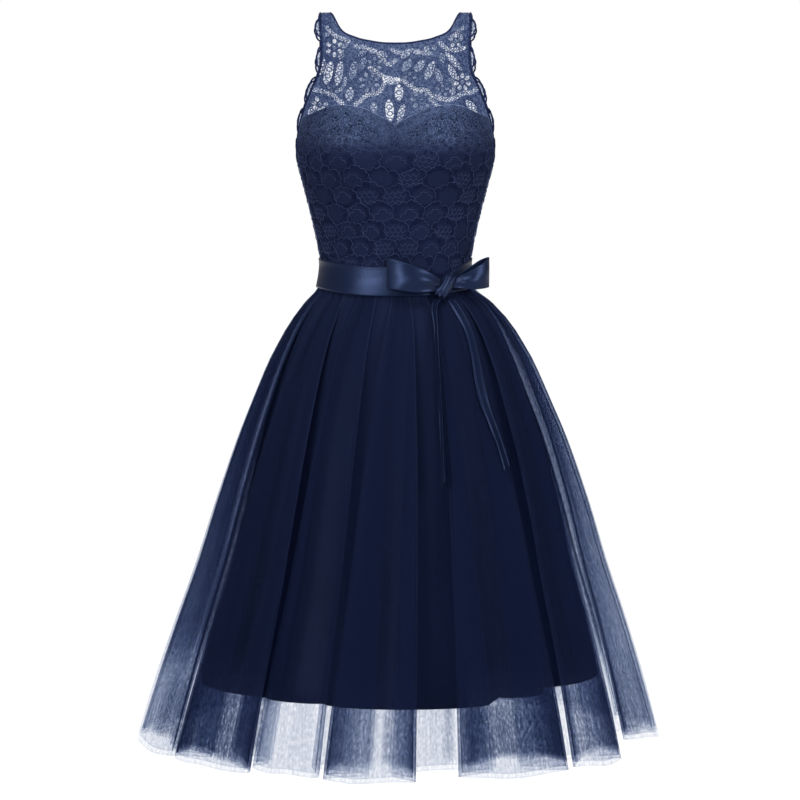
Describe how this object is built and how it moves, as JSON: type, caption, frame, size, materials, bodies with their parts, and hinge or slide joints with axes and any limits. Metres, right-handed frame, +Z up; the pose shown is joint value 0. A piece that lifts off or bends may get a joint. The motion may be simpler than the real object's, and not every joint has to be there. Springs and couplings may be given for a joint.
{
  "type": "cocktail dress",
  "caption": "Sleeveless knee-length cocktail dress with a lace bodice, a satin ribbon sash tied in a bow and a gathered tulle skirt, filled out in its worn form.",
  "frame": {"origin": "midway between the two shoulder tops, where the straps rest on the wearer's shoulders", "axes": "+Z up, -Y out of the front of the dress, +X to the wearer's left"},
  "size_m": [0.751, 0.6322, 1.0476],
  "materials": {
    "lace": "corded lace",
    "lining": "matt polyester",
    "binding": "matt bias binding",
    "satin": "satin ribbon",
    "underskirt": "smooth woven lining",
    "tulle": "soft net",
    "zip_metal": "painted"
  },
  "bodies": {
    "dress": {"lace_front": "lace", "lace_back_left": "lace", "lace_back_right": "lace", "lining_front": "lining", "lining_back_left": "lining", "lining_back_right": "lining", "neck_binding": "binding", "armhole_trim_left": "lace", "armhole_trim_right": "lace", "sash_band": "satin", "bow_knot": "satin", "bow_loop_left": "satin", "bow_loop_right": "satin", "bow_tail_left": "satin", "bow_tail_right": "satin", "underskirt_front": "underskirt", "underskirt_back": "underskirt", "tulle_outer_front": "tulle", "tulle_outer_back": "tulle", "tulle_inner_front": "tulle", "tulle_inner_back": "tulle", "zip_tape": "lining", "zip_slider": "zip_metal"},
    "pull": {"zip_pull": "zip_metal"}
  },
  "joints": [
    {"name": "zip_pull_hinge", "type": "hinge", "parent": "dress", "child": "pull", "pos_m": [0, 0.10418, -0.233], "axis": [1, 0, 0], "range_deg": [0, 165]}
  ]
}
